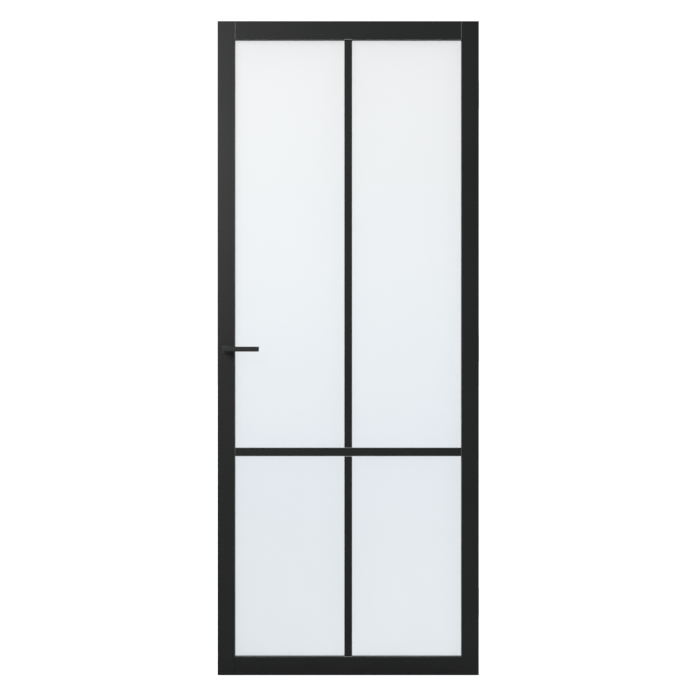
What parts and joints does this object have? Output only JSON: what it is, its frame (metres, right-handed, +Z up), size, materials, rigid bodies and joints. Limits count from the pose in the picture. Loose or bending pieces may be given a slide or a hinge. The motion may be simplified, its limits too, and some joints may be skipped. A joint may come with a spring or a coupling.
{
  "type": "glass door",
  "caption": "Tall glazed interior door leaf: slim black timber stiles and rails round one satin pane, a low cross bar, slim upright bars, a bar lever on each face and butt hinges.",
  "frame": {"origin": "middle of the leaf's bottom face", "axes": "+X along the width towards the hinges, +Y from the front face to the back face, +Z up the leaf"},
  "size_m": [0.8508, 0.144, 2.115],
  "materials": {
    "black_lacquer": "satin black lacquer on timber",
    "beech": "bare beech dowel",
    "satin_glass": "satin etched glass",
    "glazing_tape": "matt foam tape",
    "nylon": "matt nylon",
    "plated_steel": "zinc plated",
    "spring_steel": "drawn wire",
    "black_metal": "fine matt black powder coat"
  },
  "bodies": {
    "hinge_frame_side": {"hinge_frame_plate_top": "black_metal", "hinge_frame_plate_middle": "black_metal", "hinge_frame_plate_bottom": "black_metal", "hinge_pin_top": "black_metal", "hinge_pin_middle": "black_metal", "hinge_pin_bottom": "black_metal"},
    "leaf": {"lock_stile": "black_lacquer", "hinge_stile": "black_lacquer", "top_rail": "black_lacquer", "bottom_rail": "black_lacquer", "corner_dowels": "beech", "glass_pane": "satin_glass", "glazing_tape_front": "glazing_tape", "glazing_tape_back": "glazing_tape", "setting_blocks": "nylon", "glazing_bead_left": "black_lacquer", "glazing_bead_right": "black_lacquer", "glazing_bead_top": "black_lacquer", "glazing_bead_bottom": "black_lacquer", "bead_pins": "plated_steel", "cross_bar_front": "black_lacquer", "cross_bar_back": "black_lacquer", "upper_bar_front": "black_lacquer", "upper_bar_back": "black_lacquer", "lower_bar_front": "black_lacquer", "lower_bar_back": "black_lacquer", "bar_tapes_front": "glazing_tape", "bar_tapes_back": "glazing_tape", "lock_case": "plated_steel", "lock_cover": "plated_steel", "case_screws": "black_metal", "lock_forend": "black_metal", "forend_screws": "black_metal", "latch_spring": "spring_steel", "return_spring": "spring_steel", "rose_base_front": "plated_steel", "rose_base_back": "plated_steel", "rose_cap_front": "black_metal", "rose_cap_back": "black_metal", "rose_bush_front": "nylon", "rose_bush_back": "nylon", "rose_screws": "plated_steel", "hinge_leaf_plate_top": "black_metal", "hinge_leaf_plate_middle": "black_metal", "hinge_leaf_plate_bottom": "black_metal", "hinge_washers": "nylon", "hinge_screws": "black_metal"},
    "lever_set": {"lever_front": "black_metal", "lever_back": "black_metal", "spindle": "plated_steel", "follower": "plated_steel", "grub_screws": "black_metal"},
    "latch": {"latch_bolt": "plated_steel", "latch_magnet": "spring_steel", "latch_collar": "black_metal"}
  },
  "joints": [
    {"name": "door_swing", "type": "hinge", "parent": "hinge_frame_side", "child": "leaf", "pos_m": [0.4228, 0.0259, 1.0575], "axis": [0, 0, -1], "range_deg": [0, 170]},
    {"name": "lever_turn", "type": "hinge", "parent": "leaf", "child": "lever_set", "pos_m": [-0.3945, 0, 1.053], "axis": [0, 1, 0], "range_deg": [0, 45], "stiffness_Nm_per_rad": 1.2, "springref_deg": -34.38},
    {"name": "bolt_slide", "type": "slide", "parent": "leaf", "child": "latch", "axis": [-1, 0, 0], "range_m": [0, 0.008], "stiffness_N_per_m": 100, "springref_m": -0.01, "deforming": ["latch_spring"]}
  ]
}
